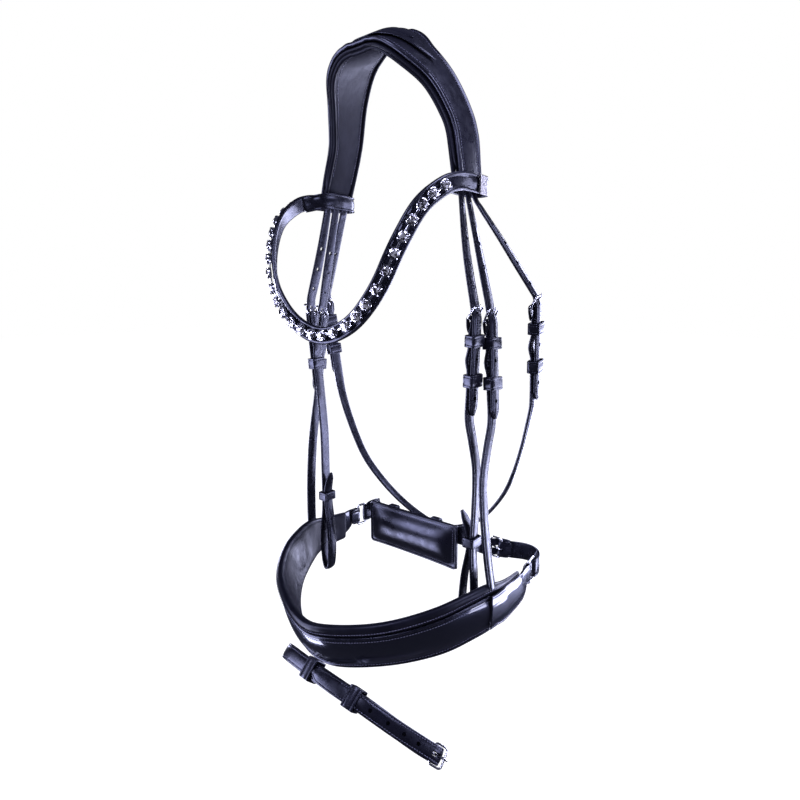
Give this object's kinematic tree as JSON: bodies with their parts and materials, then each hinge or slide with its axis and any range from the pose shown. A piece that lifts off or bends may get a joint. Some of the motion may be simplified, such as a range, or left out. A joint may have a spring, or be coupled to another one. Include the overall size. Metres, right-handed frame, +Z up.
{
  "type": "snaffle bridle",
  "caption": "Black leather snaffle bridle with padded headpiece, crystal browband, cheekpieces, throatlatch, padded crank noseband with chin pad, and flash strap.",
  "frame": {"origin": "middle of the headpiece's underside, where it rests on the horse's poll", "axes": "+Z up along the hanging bridle, -Y towards the horse's nose, +X the horse's left side"},
  "size_m": [0.2668, 0.2197, 0.6173],
  "materials": {
    "bridle_leather": "satin, dyed edges",
    "patent_leather": "high gloss",
    "padding_leather": "soft grained",
    "buckle_steel": "polished",
    "clincher_metal": "stippled",
    "crystal": "faceted"
  },
  "bodies": {
    "headpiece": {"headpiece_leather": "bridle_leather", "headpiece_lining": "padding_leather", "poll_tongue": "bridle_leather", "browband": "bridle_leather", "crystal_chain": "crystal", "left_browband_clincher": "clincher_metal", "left_noseband_billet": "bridle_leather", "left_noseband_buckle": "buckle_steel", "left_noseband_keeper": "bridle_leather", "left_noseband_hanger": "bridle_leather", "right_browband_clincher": "clincher_metal", "right_noseband_billet": "bridle_leather", "right_noseband_buckle": "buckle_steel", "right_noseband_keeper": "bridle_leather", "right_noseband_hanger": "bridle_leather"},
    "left_cheek": {"left_cheek_billet": "bridle_leather", "left_cheek_buckle": "buckle_steel", "left_cheek_keeper": "bridle_leather", "left_cheekpiece": "bridle_leather", "left_bit_keeper": "bridle_leather"},
    "right_cheek": {"right_cheek_billet": "bridle_leather", "right_cheek_buckle": "buckle_steel", "right_cheek_keeper": "bridle_leather", "right_cheekpiece": "bridle_leather", "right_bit_keeper": "bridle_leather"},
    "throat": {"left_throat_billet": "bridle_leather", "left_throat_buckle": "buckle_steel", "left_throat_keeper": "bridle_leather", "right_throat_billet": "bridle_leather", "right_throat_buckle": "buckle_steel", "right_throat_keeper": "bridle_leather", "throatlatch": "bridle_leather"},
    "noseband": {"noseband_padding": "padding_leather", "noseband_shell": "patent_leather", "left_noseband_tab": "patent_leather", "right_noseband_tab": "patent_leather", "left_crank_ring": "buckle_steel", "right_crank_ring": "buckle_steel", "crank_chape": "bridle_leather", "crank_buckle": "buckle_steel", "crank_strap": "bridle_leather"},
    "chin_pad": {"chin_pad": "padding_leather"},
    "flash": {"flash_loop": "bridle_leather", "flash_strap": "bridle_leather", "flash_buckle": "buckle_steel"},
    "flash_keeper": {"flash_keeper": "bridle_leather"},
    "left_cheek_tongue": {"left_cheek_buckle_tongue": "buckle_steel"},
    "left_cheek_runner": {"left_cheek_runner": "bridle_leather"},
    "left_noseband_tongue": {"left_noseband_buckle_tongue": "buckle_steel"},
    "left_noseband_runner": {"left_noseband_runner": "bridle_leather"},
    "left_throat_tongue": {"left_throat_buckle_tongue": "buckle_steel"},
    "left_throat_runner": {"left_throat_runner": "bridle_leather"},
    "right_cheek_tongue": {"right_cheek_buckle_tongue": "buckle_steel"},
    "right_cheek_runner": {"right_cheek_runner": "bridle_leather"},
    "right_noseband_tongue": {"right_noseband_buckle_tongue": "buckle_steel"},
    "right_noseband_runner": {"right_noseband_runner": "bridle_leather"},
    "right_throat_tongue": {"right_throat_buckle_tongue": "buckle_steel"},
    "right_throat_runner": {"right_throat_runner": "bridle_leather"},
    "crank_tongue": {"crank_buckle_tongue": "buckle_steel"},
    "flash_tongue": {"flash_buckle_tongue": "buckle_steel"}
  },
  "joints": [
    {"name": "left_cheek_swing", "type": "hinge", "parent": "headpiece", "child": "left_cheek", "pos_m": [0.0765, 0.008, -0.106], "axis": [0, 1, 0], "range_deg": [0, 8]},
    {"name": "right_cheek_swing", "type": "hinge", "parent": "headpiece", "child": "right_cheek", "pos_m": [-0.0765, 0.008, -0.106], "axis": [0, -1, 0], "range_deg": [0, 8]},
    {"name": "throatlatch_swing", "type": "hinge", "parent": "headpiece", "child": "throat", "pos_m": [0, 0.0294, -0.106], "axis": [1, 0, 0], "range_deg": [0, 9]},
    {"name": "noseband_tilt", "type": "hinge", "parent": "headpiece", "child": "noseband", "pos_m": [0, 0.009, -0.453], "axis": [1, 0, 0], "range_deg": [-5, 5]},
    {"name": "chin_pad_slide", "type": "slide", "parent": "noseband", "child": "chin_pad", "axis": [1, 0, 0], "range_m": [-0.01, 0.01]},
    {"name": "flash_swing", "type": "hinge", "parent": "noseband", "child": "flash", "pos_m": [0, -0.088, -0.533], "axis": [1, 0, 0], "range_deg": [-10, 10]},
    {"name": "flash_keeper_slide", "type": "slide", "parent": "flash", "child": "flash_keeper", "axis": [0.9604, 0.1538, -0.2326], "range_m": [-0.004, 0.0015]},
    {"name": "left_cheek_tongue_turn", "type": "hinge", "parent": "left_cheek", "child": "left_cheek_tongue", "pos_m": [0.09596, 0.0016, -0.22488], "axis": [0.0499, 0.9975, 0.0493], "range_deg": [0, 22]},
    {"name": "left_cheek_runner_slide", "type": "slide", "parent": "left_cheek", "child": "left_cheek_runner", "axis": [0.058, -0.0522, 0.997], "range_m": [-0.01, 0]},
    {"name": "left_noseband_tongue_turn", "type": "hinge", "parent": "headpiece", "child": "left_noseband_tongue", "pos_m": [0.10046, 0.0196, -0.22816], "axis": [0.0499, 0.9982, -0.0334], "range_deg": [0, 22]},
    {"name": "left_noseband_runner_slide", "type": "slide", "parent": "headpiece", "child": "left_noseband_runner", "axis": [-0.078, 0.0372, 0.9963], "range_m": [-0.01, 0]},
    {"name": "left_throat_tongue_turn", "type": "hinge", "parent": "throat", "child": "left_throat_tongue", "pos_m": [0.12496, 0.05129, -0.21594], "axis": [-0.0986, 0.9857, 0.1367], "range_deg": [0, 22]},
    {"name": "left_throat_runner_slide", "type": "slide", "parent": "throat", "child": "left_throat_runner", "axis": [0.0447, -0.1328, 0.9901], "range_m": [-0.01, 0]},
    {"name": "right_cheek_tongue_turn", "type": "hinge", "parent": "right_cheek", "child": "right_cheek_tongue", "pos_m": [-0.09596, 0.0016, -0.22488], "axis": [0.0499, -0.9975, -0.0493], "range_deg": [0, 22]},
    {"name": "right_cheek_runner_slide", "type": "slide", "parent": "right_cheek", "child": "right_cheek_runner", "axis": [-0.058, -0.0522, 0.997], "range_m": [-0.01, 0]},
    {"name": "right_noseband_tongue_turn", "type": "hinge", "parent": "headpiece", "child": "right_noseband_tongue", "pos_m": [-0.10046, 0.0196, -0.22816], "axis": [0.0499, -0.9982, 0.0334], "range_deg": [0, 22]},
    {"name": "right_noseband_runner_slide", "type": "slide", "parent": "headpiece", "child": "right_noseband_runner", "axis": [0.078, 0.0372, 0.9963], "range_m": [-0.01, 0]},
    {"name": "right_throat_tongue_turn", "type": "hinge", "parent": "throat", "child": "right_throat_tongue", "pos_m": [-0.12496, 0.05129, -0.21594], "axis": [-0.0986, -0.9857, -0.1367], "range_deg": [0, 22]},
    {"name": "right_throat_runner_slide", "type": "slide", "parent": "throat", "child": "right_throat_runner", "axis": [-0.0447, -0.1328, 0.9901], "range_m": [-0.01, 0]},
    {"name": "crank_tongue_turn", "type": "hinge", "parent": "noseband", "child": "crank_tongue", "pos_m": [0.08057, 0.08975, -0.462], "axis": [-0.0683, -0.0418, -0.9968], "range_deg": [0, 22]},
    {"name": "flash_tongue_turn", "type": "hinge", "parent": "flash", "child": "flash_tongue", "pos_m": [0.10293, -0.05724, -0.58708], "axis": [0.0532, -0.7793, -0.6244], "range_deg": [0, 22]}
  ]
}
